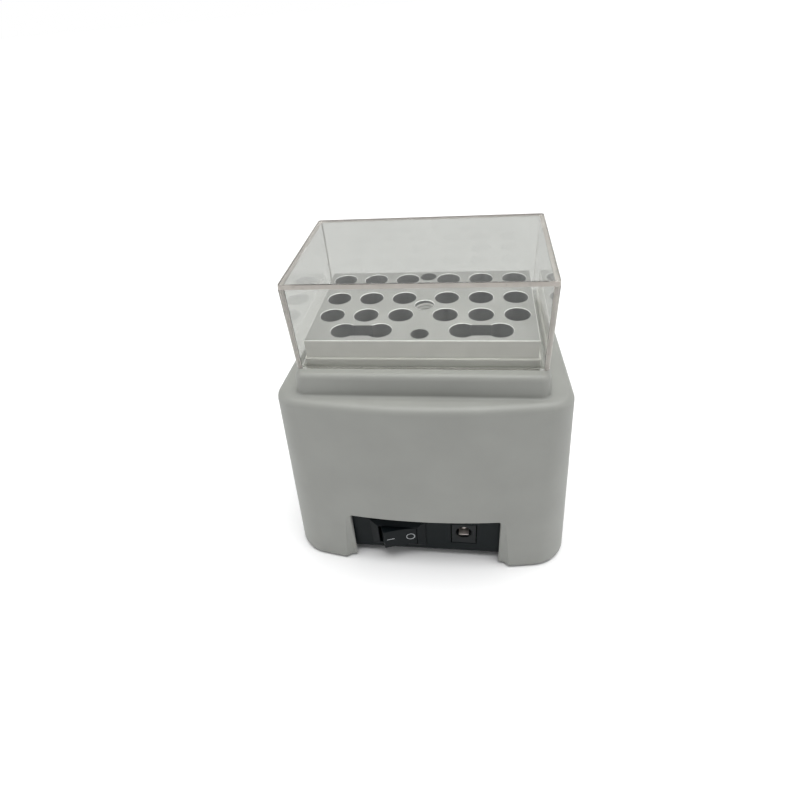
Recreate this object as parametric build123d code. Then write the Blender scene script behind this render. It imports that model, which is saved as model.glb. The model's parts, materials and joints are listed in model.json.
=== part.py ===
"""Mini dry bath: a heated aluminium tube block in a moulded case, under a clear box lid.

Millimetres, +Z up.  The origin is on the table, under the middle of the case.
The display side faces -Y; the power switch and the DC inlet are on the rear, +Y.
"""
from build123d import *
import os

# ---------------------------------------------------------------- driving dimensions
FOOT_HEIGHT = 2.0
FOOT_RADIUS = 6.0
WALL = 2.2

# case: plan sections from the bottom edge up to the shoulder
CASE_BOTTOM = 1.5
SHOULDER_Z = 76.6
REAR_Y_TOP = 50.45
FRONT_Y_BOTTOM = -54.786
END_DRAFT = 0.0857
SIDE_DRAFT = 0.0585
HALF_WIDTH_TOP = 49.85
HALF_WIDTH_AT_Y = 42.25
SIDE_TAPER = 0.047
BOW_RADIUS = 247.0
CORNER_TOP = 8.5
CORNER_BOTTOM = 14.0
SHOULDER_ROUND = 2.8

# sloping control face
SLOPE_TOP_Y = -22.75
SLOPE_BOTTOM_Y = -51.6
SLOPE_BOTTOM_Z = 38.0

# raised step, which the lid stands on
STEP_TOP = 84.6
STEP_HALF_X = 41.6
STEP_HALF_Y = 30.2
STEP_FLARE = 0.7
STEP_CORNER = 3.2
STEP_ROUND = 1.9
STEP_FOOT_ROUND = 0.9

# heated block
BLOCK_Y = 12.55
BLOCK_HALF_X = 37.7
BLOCK_HALF_Y = 23.2
BLOCK_TOP = 94.0
BLOCK_HEIGHT = 38.0
WELL_PITCH = 12.0
WELL_RADIUS = 4.28
WELL_CHAMFER = 0.12
BLOCK_CHAMFER = 0.15
WELL_STRAIGHT = 18.0
WELL_DEPTH = 30.0
WELL_TIP_RADIUS = 2.0
WELL_FIRST_X = 7.62
WELL_ROWS = (-17.1, -5.1, 6.9)
DOUBLE_ROW = 16.9
DOUBLE_X = (13.65, 25.7)
DOUBLE_SLOT = 6.4
DOUBLE_DEPTH = 26.0
FIXING_Y = 19.05
FIXING_RADIUS = 2.95
FIXING_DEPTH = 30.0
LIFT_RADIUS = 3.35
LIFT_DEPTH = 14.0
LIFT_CHAMFER = 0.15

# collar round the block
COLLAR_TOP = 87.6
COLLAR_HALF_X = 38.5
COLLAR_HALF_Y = 24.1
COLLAR_GAP = 0.12
COLLAR_BOTTOM = 75.4
JACKET_TOP = 74.2

# lid
LID_WALL = 1.6
LID_HALF_X = 41.15
LID_HALF_Y = 26.4
LID_TOP = 115.2
LID_REST_GAP = 0.05

# heater stack, downwards from the block
PLATE_THICK = 6.0
FILM_THICK = 0.8
PAD_THICK = 5.0
BRACKET_THICK = 1.2
BRACKET_HALF_X = 45.0
STANDOFF_X = 41.5
STANDOFF_DY = 15.0
STANDOFF_RADIUS = 2.75

# rear opening and panel
OPENING_HALF_X = 28.4
OPENING_TOP = 26.0
OPENING_ROUND = 1.0
OPENING_EDGE = 0.4
BAND_HALF_X = 30.4
BAND_RAMP = (3.2, 2.4)
BAND_ROUND = 2.0
BAND_Y = 53.15
PANEL_FACE = 50.75
PANEL_THICK = 2.0
PANEL_HALF_X = 33.0
PANEL_BOTTOM = 4.3
PANEL_TOP = 30.8
PANEL_GAP = 0.2
TAB_X = 29.0
TAB_HALF_X = 3.5
TAB_LENGTH = 9.0
TAB_THICK = 1.8

# rocker switch
SWITCH_X = 10.75
SWITCH_Z = 14.1
BEZEL_HALF_X = 10.8
BEZEL_HALF_Z = 7.4
BEZEL_PROUD = 1.6
BEZEL_EDGE = 0.45
BEZEL_LIP = 0.3
HOUSING_HALF_X = 9.5
HOUSING_HALF_Z = 6.45
HOUSING_REAR = 31.0
CAVITY_REAR = 41.0
ROCKER_ANGLE = 14.0
ROCKER_AXIS_Y = 49.2
ROCKER_HALF_Z = 4.8
ROCKER_FACE = (6.4, 4.81)
ROCKER_DISH = 0.35
ROCKER_FLANK = ((7.05, 1.25), (5.5, -2.6), (1.6, -5.4))
PIVOT_RADIUS = 0.98
PIVOT_HALF = 6.1
PIVOT_GAP = 0.07
ROCKER_EDGE = 0.3
BLADE_HALF_X = 0.4
BLADE_HALF_Z = 2.4
TERMINAL_X = 4.0
TERMINAL_REAR = 23.0
ROCKER_OPENING_X = 7.6
ROCKER_OPENING_Z = 5.0

# DC inlet
JACK_X = -14.8
JACK_HALF_X = 4.6
JACK_HEIGHT = 11.0
JACK_DEPTH = 14.0
JACK_BORE = 3.15
JACK_BORE_DEPTH = 9.5
JACK_PIN = 0.8
JACK_AXIS_UP = 6.5
JACK_GAP = 0.4
JACK_SINK = 0.15
JACK_PIN_SINK = 2.3
SPRING_HALF_X = 1.95
SPRING_LINE = ((-0.9, -2.1), (-2.7, -2.1), (-8.2, -3.0))
SPRING_THICK = 0.4
SPRING_SLOT = (-8.4, -0.7, -3.6, -2.0)
PIN_EDGE = 0.45
PIN_GAP = 0.02
TAG_HALF_X = 1.8
TAG_THICK = 0.5
TAG_TOP = -1.2

# base plate and main board
BASE_Z = 2.0
BASE_THICK = 2.5
BASE_GAP = 0.15
BOARD_Z = 7.4
BOARD_THICK = 1.6
PLUG_HEIGHT = 9.0
BOARD_HALF_X = 36.5
BOARD_REAR = 47.5
BOARD_FRONT = -30.0
POST_REAR = (40.5, 40.5)
POST_FRONT = (41.0, -43.0)
POST_RADIUS = 3.2
POST_TOP = 75.0
BOARD_HOLES = ((33.0, 34.0), (-33.0, 34.0), (33.0, -26.0), (-33.0, -26.0))

# control face, in its own plane: x across, y up the slope, z outwards
LABEL_HALF_X = 39.0
LABEL_HALF_Y = 19.0
LABEL_DEPTH = 0.5
LABEL_THICK = 0.4
WINDOW_Y = 7.0
WINDOW_HALF_X = 25.0
WINDOW_HALF_Y = 8.5
SCREEN_HALF_X = 27.0
SCREEN_HALF_Y = 10.5
KEY_Y = -11.0
KEY_PITCH = 13.0
KEY_HALF_X = 4.8
KEY_HALF_Y = 3.2
KEY_PROUD = 0.8
KEY_GAP = 0.2
KEY_NAMES = ("key_mode", "key_down", "key_set", "key_up", "key_start")
SCREEN_BOARD = -7.5
SCREEN_BOARD_HALF = (37.0, 19.5)
SCREEN_SCREWS = ((34.6, 16.5), (-34.6, 16.5), (34.6, -16.5), (-34.6, -16.5))

FRAME_RIM = 1.5
SCREEN_TOP = -3.0
SCREEN_SHIFT = -0.4
LABEL_CORNER = 3.0
KEY_CORNER = 1.5
KEY_EDGE = 0.4
KEY_BACK = -2.5
KEY_FLANGE = 1.0
KEY_FLANGE_BACK = -3.3
KEY_POST = 1.5
KEY_POST_BACK = -6.2
TACT_HALF = 3.0
TACT_TOP = -4.3
TACT_WELL_FLOOR = -6.9
SKIN_CUT = 6.0

# screws: length under the head, shank radius, head radius, head height
CASE_SCREW = (11.0, 1.2, 2.6, 1.3)
BLOCK_SCREW = (12.5, 1.5, 2.75, 3.0)
TRAY_SCREW = (7.0, 1.5, 2.7, 1.8)
STANDOFF_SCREW = (7.0, 1.5, 2.7, 0.9)
BOARD_SCREW = (5.2, 1.25, 2.2, 1.5)
DISPLAY_SCREW = (6.0, 0.88, 1.9, 1.2)
CASE_SEAT = 1.5
STANDOFF_SEAT = 1.0
TAPPED_GAP = 0.03
CLEAR_GAP = 0.05
LOOSE_GAP = 0.1
SEAT_GAP = 0.2
REACH = 100.0

# vents in the base plate
VENT_COUNT = 7
VENT_PITCH = 8.0
VENT_HALF_X = 1.5
VENT_Y = (-12.0, 20.0)

# parts of the heater stack: x, y measured from the block's middle
SENSOR_X = 20.0
SENSOR_UP = 3.0
SENSOR_RADIUS = 1.5
SENSOR_Y = (-27.0, -5.0)
SENSOR_HOLE_Y = (-30.0, -4.0)
FILM_HALF = (35.0, 21.0)
CUTOUT_X = (-33.0, -13.0)
CUTOUT_THICK = 4.0
CUTOUT_DROP = 0.8
JACKET_THICK = 3.5
TRAY_GROW = 1.5
TRAY_TAB_X = (24.0, 34.0)
TRAY_SLOT_X = (-18.0, 0.0, 18.0)
TRAY_SLOT_HALF = (5.0, 12.0)

# parts on the main board: places in plan, heights above the board
SWITCH_CUT = (12.5, 21.0)
TAB_CUT = (29.0, 3.8, 38.5, 48.8)
BOARD_POST = 2.4
CHIP_X = (4.0, 14.0)
CHIP_Y = (-8.0, 2.0)
CHIP_Z = (0.15, 1.6)
CHIP_LEG = (1.4, 0.5, 0.4)
CHIP_LEGS = 8
CHIP_LEG_PITCH = 1.2
CHIP_LEG_START = -7.2
CANS = ((-29.0, 22.0, 4.0, 12.0), (-29.0, 11.0, 4.0, 12.0), (-19.0, 12.0, 3.2, 8.0))
COIL_PLACE = (-18.0, 25.0)
COIL_HALF = 5.5
COIL_HEIGHT = 5.0
TRANSISTOR_X = (23.5, 33.5)
TRANSISTOR_Y = (6.0, 9.1, 10.4)
TRANSISTOR_Z = (4.0, 13.0, 19.0)
TRANSISTOR_LEGS = (26.0, 28.5, 31.0)
TRANSISTOR_LEG_Y = (7.4, 8.0)
SINK_X = (19.5, 36.0)
SINK_Y = (10.4, 12.4, 18.4)
SINK_HEIGHT = 22.0
FIN_COUNT = 6
FIN_PITCH = 3.06
FIN_THICK = 1.2
BUZZER_PLACE = (24.0, -18.0)
BUZZER_RADIUS = 5.5
BUZZER_HEIGHT = 6.0
BUZZER_HOLE = 1.1
SOCKET_HALF_Y = 3.0
SOCKET_HEIGHT = 7.0
SOCKET_WALL = 0.7
PLUG_GAP = 0.1
PART_EDGE = 0.6
CONNECTORS = {
    "heater": (-8, 2, 7.5),
    "sensor": (-8, -9, 7.5),
    "switch": (-8, 13, 7.5),
    "display": (-4, -24, 18),
}
RIBBON_WIRES = 8
RIBBON_PITCH = 1.6
RIBBON_RADIUS = 0.5
HEATER_LEAD = 0.4
SENSOR_LEAD = 0.5
SWITCH_LEAD = 0.7
LEAD_BEND = 2.0
LONG_BEND = 2.5


# ---------------------------------------------------------------- helpers
def brick(x0, x1, y0, y1, z0, z1):
    """A box between two corners."""
    return Pos((x0 + x1) / 2, (y0 + y1) / 2, (z0 + z1) / 2) * Box(x1 - x0, y1 - y0, z1 - z0)


def rod(x, y, z0, z1, radius):
    """An upright cylinder."""
    return Pos(x, y, (z0 + z1) / 2) * Cylinder(radius, z1 - z0)


def rod_y(x, z, y0, y1, radius):
    """A cylinder along Y."""
    return Pos(x, (y0 + y1) / 2, z) * Rot(90, 0, 0) * Cylinder(radius, y1 - y0)


def rounded(half_x, half_y, radius, z0, z1):
    """An upright prism with rounded corners, centred on its own plane's origin."""
    return Pos(0, 0, z0) * extrude(RectangleRounded(2 * half_x, 2 * half_y, radius), z1 - z0)


def joined(shapes):
    """All the shapes in one."""
    shapes = list(shapes)
    whole = shapes[0]
    for shape in shapes[1:]:
        whole += shape
    return whole


def block_prism(grow, z0, z1):
    """A box on the block's outline, widened all round by grow."""
    half_x = BLOCK_HALF_X + grow
    half_y = BLOCK_HALF_Y + grow
    return brick(-half_x, half_x, BLOCK_Y - half_y, BLOCK_Y + half_y, z0, z1)


def separate(shapes):
    """Separate pieces of one kind, kept as separate solids."""
    return Compound(children=[solid for shape in shapes for solid in shape.solids()])


def screw(x, y, z_head, length, shank, head, head_height):
    """A cap screw, head up, with a hexagon socket; z_head is under the head."""
    body = rod(x, y, z_head - length, z_head, shank) + rod(x, y, z_head, z_head + head_height, head)
    socket = Pos(x, y, z_head + head_height * 0.45) * extrude(RegularPolygon(head * 0.5, 6), head_height)
    return body - socket


def screw_up(x, y, z_head, length, shank, head, head_height):
    """The same screw driven upwards; z_head is where the head bears."""
    return Pos(x, y, z_head) * Rot(180, 0, 0) * screw(0, 0, 0, length, shank, head, head_height)


def wire(points, radius, bends):
    """A round wire: straight runs joined by arcs."""
    path = FilletPolyline(*points, radius=bends)
    start = Plane(origin=path @ 0, z_dir=path % 0)
    return sweep(start * Circle(radius), path=path)


# ---------------------------------------------------------------- case outline
def half_width(y, z):
    """Half the case's width at a place: it narrows upwards and towards the display side."""
    return HALF_WIDTH_TOP + SIDE_TAPER * (y - HALF_WIDTH_AT_Y) + SIDE_DRAFT * (SHOULDER_Z - z)


def plan_section(z, inset):
    """The case's outline at height z, moved inwards by inset."""
    rear = REAR_Y_TOP + END_DRAFT * (SHOULDER_Z - z)
    front = FRONT_Y_BOTTOM + END_DRAFT * (z - CASE_BOTTOM)
    rear_half = half_width(rear, z)
    front_half = half_width(front, z)
    rear_side = rear - rear_half ** 2 / (2 * BOW_RADIUS) - inset
    front_side = front + front_half ** 2 / (2 * BOW_RADIUS) + inset
    rear_half -= inset
    front_half -= inset
    outline = (
        ThreePointArc((-rear_half, rear_side), (0, rear - inset), (rear_half, rear_side))
        + Line((rear_half, rear_side), (front_half, front_side))
        + ThreePointArc((front_half, front_side), (0, front + inset), (-front_half, front_side))
        + Line((-front_half, front_side), (-rear_half, rear_side))
    )
    face = make_face(outline)
    share = (z - CASE_BOTTOM) / (SHOULDER_Z - CASE_BOTTOM)
    corner = CORNER_BOTTOM + (CORNER_TOP - CORNER_BOTTOM) * share - inset
    face = fillet(face.vertices(), corner)
    return Pos(0, 0, z) * face


def slope_wedge(inset):
    """What lies outside the sloping control face."""
    length = ((SLOPE_BOTTOM_Y - SLOPE_TOP_Y) ** 2 + (SLOPE_BOTTOM_Z - SHOULDER_Z) ** 2) ** 0.5
    along = ((SLOPE_TOP_Y - SLOPE_BOTTOM_Y) / length, (SHOULDER_Z - SLOPE_BOTTOM_Z) / length)
    normal = (-along[1], along[0])
    foot = (SLOPE_BOTTOM_Y - inset * normal[0], SLOPE_BOTTOM_Z - inset * normal[1])
    reach = 60.0
    below = (foot[0] - reach * along[0], foot[1] - reach * along[1])
    above = (foot[0] + 2 * reach * along[0], foot[1] + 2 * reach * along[1])
    outer = (below[0] + reach * normal[0], above[1] + reach * normal[1])
    profile = Plane.YZ * make_face(Polyline(below, above, outer, close=True))
    return extrude(profile, 70, both=True)


def case_body(inset, z_low, z_high):
    """The case below the shoulder as one solid, moved inwards by inset."""
    body = loft([plan_section(z_low, inset), plan_section(z_high, inset)], ruled=True)
    return body - slope_wedge(inset)


def control_plane():
    """The plane of the control face, with z outwards."""
    run = SLOPE_TOP_Y - SLOPE_BOTTOM_Y
    rise = SHOULDER_Z - SLOPE_BOTTOM_Z
    length = (run ** 2 + rise ** 2) ** 0.5
    middle = (0, (SLOPE_TOP_Y + SLOPE_BOTTOM_Y) / 2, (SHOULDER_Z + SLOPE_BOTTOM_Z) / 2)
    return Plane(origin=middle, x_dir=(1, 0, 0), z_dir=(0, -rise / length, run / length))


CONTROL = control_plane()
BOARD_TOP = BOARD_Z + BOARD_THICK
PLUG_TOP = BOARD_TOP + PLUG_HEIGHT
BASE_TOP = BASE_Z + BASE_THICK
BLOCK_BOTTOM = BLOCK_TOP - BLOCK_HEIGHT
PLATE_BOTTOM = BLOCK_BOTTOM - PLATE_THICK
FILM_BOTTOM = PLATE_BOTTOM - FILM_THICK
PAD_BOTTOM = FILM_BOTTOM - PAD_THICK
SENSOR_Z = PLATE_BOTTOM + SENSOR_UP
BRACKET_BOTTOM = PAD_BOTTOM - BRACKET_THICK
KEY_X = [KEY_PITCH * (index - 2) for index in range(len(KEY_NAMES))]
POSTS = [(side * POST_REAR[0], POST_REAR[1]) for side in (1, -1)]
POSTS += [(side * POST_FRONT[0], POST_FRONT[1]) for side in (1, -1)]
STANDOFFS = [(sx * STANDOFF_X, BLOCK_Y + sy * STANDOFF_DY) for sx in (1, -1) for sy in (1, -1)]
FEET = [(42.0, 27.0), (-42.0, 27.0), (41.0, -29.0), (-41.0, -29.0)]


def key_opening(z0, z1):
    """The cutter of one key's opening, in the control face's own plane."""
    return rounded(KEY_HALF_X + KEY_GAP, KEY_HALF_Y + KEY_GAP, KEY_CORNER + KEY_GAP, z0, z1)


# ---------------------------------------------------------------- case parts
def step_solid(grow, z_low, z_high):
    """The raised step, slightly wider at its foot."""
    low = RectangleRounded(
        2 * (STEP_HALF_X + STEP_FLARE + grow), 2 * (STEP_HALF_Y + STEP_FLARE + grow), STEP_CORNER + grow
    )
    high = RectangleRounded(2 * (STEP_HALF_X + grow), 2 * (STEP_HALF_Y + grow), STEP_CORNER + grow)
    return loft([Pos(0, BLOCK_Y, z_low) * low, Pos(0, BLOCK_Y, z_high) * high], ruled=True)


def rear_band():
    """The upright band beside the rear opening, where the flared wall is cut back."""
    out = BAND_Y + 20
    wide = BAND_HALF_X + BAND_RAMP[0]
    high = BAND_Y + BAND_RAMP[1]
    corners = [(-BAND_HALF_X, BAND_Y), (BAND_HALF_X, BAND_Y), (wide, high)]
    corners += [(wide, out), (-wide, out), (-wide, high)]
    outline = make_face(Polyline(*corners, close=True))
    outline = fillet(outline.vertices().group_by(Axis.Y)[0], BAND_ROUND)
    return extrude(outline, OPENING_TOP)


def jamb_chamfer(side):
    """Breaks the upright edge between the opening and the band."""
    x = side * OPENING_HALF_X
    corner = Polyline(
        (x, BAND_Y - OPENING_EDGE), (x + side * OPENING_EDGE, BAND_Y), (x, BAND_Y + OPENING_EDGE), close=True
    )
    return extrude(make_face(corner), OPENING_TOP - OPENING_ROUND)


def make_upper_shell():
    outer = case_body(0, CASE_BOTTOM, SHOULDER_Z)
    top_face = outer.faces().sort_by(Axis.Z)[-1]
    slope_faces = [f for f in outer.faces() if (f.normal_at() - CONTROL.z_dir).length < 0.01]
    soft = top_face.edges() + slope_faces[0].edges()
    outer = fillet(soft, SHOULDER_ROUND)
    step = step_solid(0, SHOULDER_Z - 1, STEP_TOP)
    step = fillet(step.faces().sort_by(Axis.Z)[-1].edges(), STEP_ROUND)
    filled = outer + step
    foot = filled.edges().filter_by_position(Axis.Z, SHOULDER_Z - 0.01, SHOULDER_Z + 0.01)
    foot = foot.filter_by(lambda edge: abs(edge.center().X) < STEP_HALF_X + 1)
    foot = foot.filter_by(lambda edge: abs(edge.center().Y - BLOCK_Y) < STEP_HALF_Y + 1)
    filled = fillet(foot, STEP_FOOT_ROUND)

    inner = case_body(WALL, CASE_BOTTOM - 1, SHOULDER_Z - WALL)
    inner += step_solid(-WALL, SHOULDER_Z - WALL - 1, STEP_TOP - WALL)
    shell = filled - inner
    for x, y in POSTS:
        shell += rod(x, y, BASE_TOP + 0.05, POST_TOP, POST_RADIUS) & filled
    mouth = (COLLAR_HALF_X + COLLAR_GAP, COLLAR_HALF_Y + COLLAR_GAP)
    shell -= Pos(0, BLOCK_Y, 0) * rounded(*mouth, 1.2, STEP_TOP - 8, STEP_TOP + 1)

    opening = RectangleRounded(2 * OPENING_HALF_X, 2 * OPENING_TOP, OPENING_ROUND)
    shell -= Pos(0, 40, 0) * Rot(-90, 0, 0) * extrude(opening, 30)
    shell -= rear_band()
    shell -= jamb_chamfer(1)
    shell -= jamb_chamfer(-1)
    half = PANEL_HALF_X + PANEL_GAP
    shell -= brick(-half, half, 38, PANEL_FACE + 0.1, 0, PANEL_TOP + PANEL_GAP)

    for x, y in POSTS:
        shell -= rod(x, y, 0, BASE_TOP + 14, 1.25)
    for x, y in SCREEN_SCREWS:
        shell += CONTROL * (Pos(x, y, 0) * rod(0, 0, SCREEN_BOARD, -WALL + 0.4, 2.3))
        shell -= CONTROL * rod(x, y, SCREEN_BOARD - 1, -1.6, 0.9)
    recess_x = LABEL_HALF_X + LOOSE_GAP
    recess_y = LABEL_HALF_Y + LOOSE_GAP
    shell -= CONTROL * rounded(recess_x, recess_y, LABEL_CORNER + LOOSE_GAP, -LABEL_DEPTH, SKIN_CUT)
    hole_x = WINDOW_HALF_X + LOOSE_GAP
    hole_y = WINDOW_HALF_Y + LOOSE_GAP
    shell -= CONTROL * (Pos(0, WINDOW_Y, 0) * rounded(hole_x, hole_y, 1 + LOOSE_GAP, -SKIN_CUT, 1))
    for x in KEY_X:
        shell -= CONTROL * (Pos(x, KEY_Y, 0) * key_opening(-SKIN_CUT, 1))
    return shell


def make_base_plate():
    plate = extrude(plan_section(BASE_TOP, WALL + BASE_GAP), -BASE_THICK)
    half_x = PANEL_HALF_X + 0.3
    plate -= brick(-half_x, half_x, PANEL_FACE - PANEL_THICK - LOOSE_GAP, REACH, 0, REACH)
    for x, y in POSTS:
        plate -= rod(x, y, 0, REACH, CASE_SCREW[1] + 0.4)
        plate -= rod(x, y, 0, BASE_Z + CASE_SEAT, CASE_SCREW[2] + SEAT_GAP)
    for x, y in STANDOFFS:
        plate -= rod(x, y, 0, REACH, STANDOFF_SCREW[1] + CLEAR_GAP)
        plate -= rod(x, y, 0, BASE_Z + STANDOFF_SEAT, STANDOFF_SCREW[2] + SEAT_GAP)
    for x, y in BOARD_HOLES:
        plate -= rod(x, y, BASE_Z + 1, REACH, BOARD_SCREW[1] + CLEAR_GAP)
    for index in range(VENT_COUNT):
        x = (index - (VENT_COUNT - 1) / 2) * VENT_PITCH
        plate -= brick(x - VENT_HALF_X, x + VENT_HALF_X, VENT_Y[0], VENT_Y[1], 0, REACH)
    return plate


def make_feet():
    feet = []
    for x, y in FEET:
        foot = rod(x, y, 0, FOOT_HEIGHT, FOOT_RADIUS)
        feet.append(chamfer(foot.faces().sort_by(Axis.Z)[0].edges(), PART_EDGE))
    return separate(feet)


def make_case_screws():
    return separate(screw_up(x, y, BASE_Z + CASE_SEAT, *CASE_SCREW) for x, y in POSTS)


def make_rear_panel():
    back = PANEL_FACE - PANEL_THICK
    panel = brick(-PANEL_HALF_X, PANEL_HALF_X, back, PANEL_FACE, PANEL_BOTTOM, PANEL_TOP)
    top = BASE_TOP + TAB_THICK
    for x in (TAB_X, -TAB_X):
        panel += brick(x - TAB_HALF_X, x + TAB_HALF_X, back - TAB_LENGTH, back, BASE_TOP, top)
        panel -= rod(x, back - TAB_LENGTH / 2, 0, REACH, BOARD_SCREW[1] + CLEAR_GAP)
    half_x = HOUSING_HALF_X + 0.15
    half_z = HOUSING_HALF_Z + 0.15
    panel -= switch_brick(half_x, half_z, 0, REACH)
    half_x = JACK_HALF_X + JACK_GAP
    low = BOARD_TOP - LOOSE_GAP
    return panel - brick(JACK_X - half_x, JACK_X + half_x, 0, REACH, low, BOARD_TOP + JACK_HEIGHT + JACK_GAP)


# ---------------------------------------------------------------- rocker switch
def upright(half_x, half_z, y):
    """A rectangle facing the rear, centred on the switch."""
    return Pos(SWITCH_X, y, SWITCH_Z) * Rot(90, 0, 0) * Rectangle(2 * half_x, 2 * half_z)


def switch_brick(half_x, half_z, y0, y1):
    """A box centred on the switch, between two depths."""
    return brick(SWITCH_X - half_x, SWITCH_X + half_x, y0, y1, SWITCH_Z - half_z, SWITCH_Z + half_z)


def make_switch_housing():
    """Bevelled frame and housing with the rocker's opening."""
    front = PANEL_FACE + BEZEL_PROUD
    edge = PANEL_FACE + BEZEL_EDGE
    outer = upright(BEZEL_HALF_X, BEZEL_HALF_Z, edge)
    inner = upright(ROCKER_OPENING_X + BEZEL_LIP, ROCKER_OPENING_Z + BEZEL_LIP, front)
    frame = switch_brick(BEZEL_HALF_X, BEZEL_HALF_Z, PANEL_FACE, edge) + loft([outer, inner], ruled=True)
    body = frame + switch_brick(HOUSING_HALF_X, HOUSING_HALF_Z, HOUSING_REAR, PANEL_FACE)
    body -= switch_brick(ROCKER_OPENING_X, ROCKER_OPENING_Z, CAVITY_REAR, front + 1)
    half = PIVOT_HALF + LOOSE_GAP
    return body - rod(SWITCH_X, ROCKER_AXIS_Y, SWITCH_Z - half, SWITCH_Z + half, PIVOT_RADIUS + PIVOT_GAP)


def make_rocker():
    """The dished rocker, turned to OFF; it tilts about an upright axis."""
    half, height = ROCKER_FACE
    flank = list(ROCKER_FLANK)
    other = [(-x, y) for x, y in reversed(flank)]
    face_line = ThreePointArc((-half, height), (0, height - ROCKER_DISH), (half, height))
    outline = face_line + Polyline((half, height), *flank, *other, (-half, height))
    body = Pos(0, 0, -ROCKER_HALF_Z) * extrude(make_face(outline), 2 * ROCKER_HALF_Z)
    body = fillet(body.edges().filter_by(Axis.Z).group_by(Axis.Y)[-1], ROCKER_EDGE)
    body += rod(0, 0, -PIVOT_HALF, PIVOT_HALF, PIVOT_RADIUS)
    return Pos(SWITCH_X, ROCKER_AXIS_Y, SWITCH_Z) * Rot(0, 0, ROCKER_ANGLE) * body


def make_switch_terminals():
    blades = []
    for x in (SWITCH_X - TERMINAL_X, SWITCH_X + TERMINAL_X):
        low = (x - BLADE_HALF_X, TERMINAL_REAR, SWITCH_Z - BLADE_HALF_Z)
        high = (x + BLADE_HALF_X, HOUSING_REAR, SWITCH_Z + BLADE_HALF_Z)
        blades.append(brick(low[0], high[0], low[1], high[1], low[2], high[2]))
    return separate(blades)


# ---------------------------------------------------------------- DC inlet
JACK_AXIS = BOARD_TOP + JACK_AXIS_UP


def jack_brick(half_x, y0, y1, z0, z1):
    """A box in the inlet, measured from the panel's face and the bore's axis."""
    return Pos(JACK_X, PANEL_FACE, JACK_AXIS) * brick(-half_x, half_x, y0, y1, z0, z1)


def make_jack_body():
    body = jack_brick(JACK_HALF_X, -JACK_DEPTH, -JACK_SINK, -JACK_AXIS_UP, JACK_HEIGHT - JACK_AXIS_UP)
    body -= rod_y(JACK_X, JACK_AXIS, PANEL_FACE - JACK_BORE_DEPTH, PANEL_FACE + 1, JACK_BORE)
    body -= rod_y(JACK_X, JACK_AXIS, PANEL_FACE - JACK_DEPTH - 1, PANEL_FACE, JACK_PIN + PIN_GAP)
    return body - jack_brick(SPRING_HALF_X + LOOSE_GAP, *SPRING_SLOT)


def make_jack_pin():
    pin = rod_y(JACK_X, JACK_AXIS, PANEL_FACE - JACK_DEPTH - 1.0, PANEL_FACE - JACK_PIN_SINK, JACK_PIN)
    return fillet(pin.faces().sort_by(Axis.Y)[-1].edges(), PIN_EDGE)


def make_jack_contacts():
    """The outer contact, which lies along the bottom of the bore, and the rear tag."""
    top = [(PANEL_FACE + y, JACK_AXIS + z) for y, z in SPRING_LINE]
    under = [(y, z - SPRING_THICK) for y, z in reversed(top)]
    profile = Plane.YZ * make_face(Polyline(*top, *under, close=True))
    spring = Pos(JACK_X, 0, 0) * extrude(profile, SPRING_HALF_X, both=True)
    tag = jack_brick(TAG_HALF_X, -JACK_DEPTH - TAG_THICK, -JACK_DEPTH, -JACK_AXIS_UP, TAG_TOP)
    return separate([spring, tag])


# ---------------------------------------------------------------- heated block and its parts
def well_tool(radius, straight, depth, tip):
    """The cutter of one conical well, its mouth at z = 0."""
    tool = rod(0, 0, -straight, 1, radius)
    cone = loft([Pos(0, 0, -straight) * Circle(radius), Pos(0, 0, -depth) * Circle(tip)])
    mouth = loft([Circle(radius + WELL_CHAMFER), Pos(0, 0, -WELL_CHAMFER) * Circle(radius)])
    return tool + cone + mouth


def make_heat_block():
    block = block_prism(0, BLOCK_BOTTOM, BLOCK_TOP)
    block = chamfer(block.faces().sort_by(Axis.Z)[-1].edges(), BLOCK_CHAMFER)
    well = well_tool(WELL_RADIUS, WELL_STRAIGHT, WELL_DEPTH, WELL_TIP_RADIUS)
    for row in WELL_ROWS:
        for column in range(3):
            for side in (1, -1):
                x = side * (WELL_FIRST_X + column * WELL_PITCH)
                block -= Pos(x, BLOCK_Y + row, BLOCK_TOP) * well
    for side in (1, -1):
        y = BLOCK_Y + DOUBLE_ROW
        for x in DOUBLE_X:
            block -= rod(side * x, y, BLOCK_TOP - DOUBLE_DEPTH, BLOCK_TOP + 1, WELL_RADIUS)
            block -= Pos(side * x, y, BLOCK_TOP) * well_tool(WELL_RADIUS, 2, 2.5, WELL_RADIUS)
        ends = sorted(side * x for x in DOUBLE_X)
        slot = DOUBLE_SLOT / 2
        block -= brick(ends[0], ends[1], y - slot, y + slot, BLOCK_TOP - DOUBLE_DEPTH, BLOCK_TOP + 1)
    for side in (1, -1):
        y = BLOCK_Y + side * FIXING_Y
        block -= rod(0, y, BLOCK_TOP - FIXING_DEPTH, BLOCK_TOP + 1, FIXING_RADIUS)
        block -= rod(0, y, BLOCK_BOTTOM - 1, BLOCK_TOP, BLOCK_SCREW[1] + CLEAR_GAP)
    block -= rod(0, BLOCK_Y, BLOCK_TOP - LIFT_DEPTH, BLOCK_TOP + 1, LIFT_RADIUS)
    lead_in = loft([Circle(LIFT_RADIUS + LIFT_CHAMFER), Pos(0, 0, -LIFT_CHAMFER) * Circle(LIFT_RADIUS)])
    return block - Pos(0, BLOCK_Y, BLOCK_TOP) * lead_in


def make_block_screws():
    seats = [BLOCK_Y + side * FIXING_Y for side in (1, -1)]
    return separate(screw(0, y, BLOCK_TOP - FIXING_DEPTH, *BLOCK_SCREW) for y in seats)


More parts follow.
